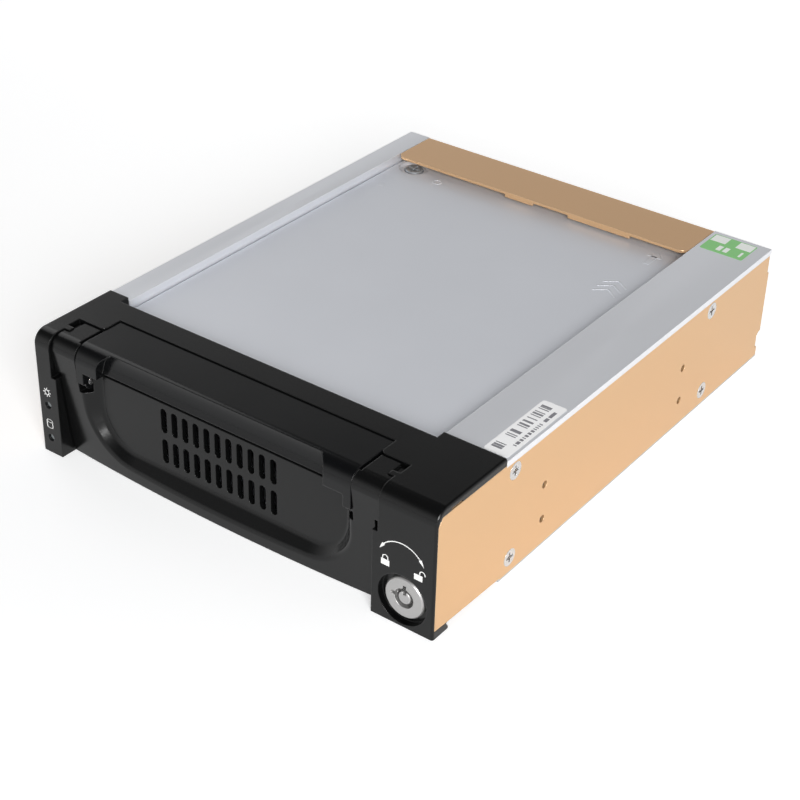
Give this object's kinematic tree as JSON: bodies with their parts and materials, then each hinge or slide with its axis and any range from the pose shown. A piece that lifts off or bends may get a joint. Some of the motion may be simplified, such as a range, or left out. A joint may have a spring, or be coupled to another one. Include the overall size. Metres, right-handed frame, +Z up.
{
  "type": "hot swap drive cage",
  "caption": "Half-height bay cage with a key-locked slide-out drive tray, fold-down pull handle, sliding tray cover, docking connectors and a rear cooling fan.",
  "frame": {"origin": "centre of the base, on the lowest face", "axes": "+X to the right seen from the front, +Y from the bezel to the rear, +Z up"},
  "size_m": [0.146, 0.1876, 0.0416],
  "materials": {
    "black_plastic": "fine matt moulded ABS",
    "gold_plate": "gold-tone satin coating",
    "aluminium_rail": "satin anodised",
    "aluminium_cover": "satin anodised",
    "zinc_steel": "zinc plated sheet",
    "screw_steel": "bright plated",
    "green_board": "solder mask",
    "brass_spacer": "turned",
    "connector_black": "glass-filled nylon",
    "connector_white": "natural nylon",
    "fan_black": "moulded PBT",
    "led_lens": "clear acrylic",
    "lock_zinc": "nickel plated, fine satin face",
    "catch_grey": "satin"
  },
  "bodies": {
    "frame": {"front_bezel": "black_plastic", "left_side_plate": "gold_plate", "right_side_plate": "gold_plate", "left_rail": "aluminium_rail", "right_rail": "aluminium_rail", "bottom_plate": "zinc_steel", "rear_panel": "gold_plate", "side_screws": "screw_steel", "backplane_board": "green_board", "backplane_spacers": "brass_spacer", "dock_socket": "connector_black", "power_port": "connector_white", "data_port": "connector_black", "fan_housing": "fan_black", "fan_screws": "screw_steel", "led_board": "green_board", "indicator_leds": "led_lens", "light_pipes": "led_lens", "lock_housing": "lock_zinc", "lock_nut": "screw_steel", "key_switch": "connector_black"},
    "tray": {"tray_front": "black_plastic", "tray_front_screws": "screw_steel", "tray_pan": "zinc_steel", "tray_board": "green_board", "dock_plug": "connector_black", "drive_socket": "connector_black", "handle_pins": "screw_steel"},
    "pull_handle": {"handle": "black_plastic"},
    "cover": {"tray_cover": "aluminium_cover", "catch_bracket": "zinc_steel", "catch_spring": "screw_steel"},
    "catch": {"catch_button": "catch_grey"},
    "lock_core": {"lock_barrel": "lock_zinc", "lock_tongue": "zinc_steel"},
    "rotor": {"fan_rotor": "fan_black"}
  },
  "joints": [
    {"name": "tray_slide", "type": "slide", "parent": "frame", "child": "tray", "axis": [0, -1, 0], "range_m": [0, 0.19]},
    {"name": "handle_fold", "type": "hinge", "parent": "tray", "child": "pull_handle", "pos_m": [-0.0063, -0.08925, 0.0295], "axis": [1, 0, 0], "range_deg": [0, 90]},
    {"name": "lock_turn", "type": "hinge", "parent": "frame", "child": "lock_core", "pos_m": [0.0627, -0.08375, 0.0089], "axis": [0, -1, 0], "range_deg": [0, 90]},
    {"name": "cover_slide", "type": "slide", "parent": "tray", "child": "cover", "axis": [0, 1, 0], "range_m": [0, 0.008]},
    {"name": "catch_press", "type": "slide", "parent": "cover", "child": "catch", "axis": [0, 0, -1], "range_m": [0, 0.0012], "stiffness_N_per_m": 300, "springref_m": -0.001, "deforming": ["catch_spring"]},
    {"name": "fan_spin", "type": "hinge", "parent": "frame", "child": "rotor", "pos_m": [0.027, 0.08625, 0.0185], "axis": [0, 1, 0], "continuous": true}
  ]
}
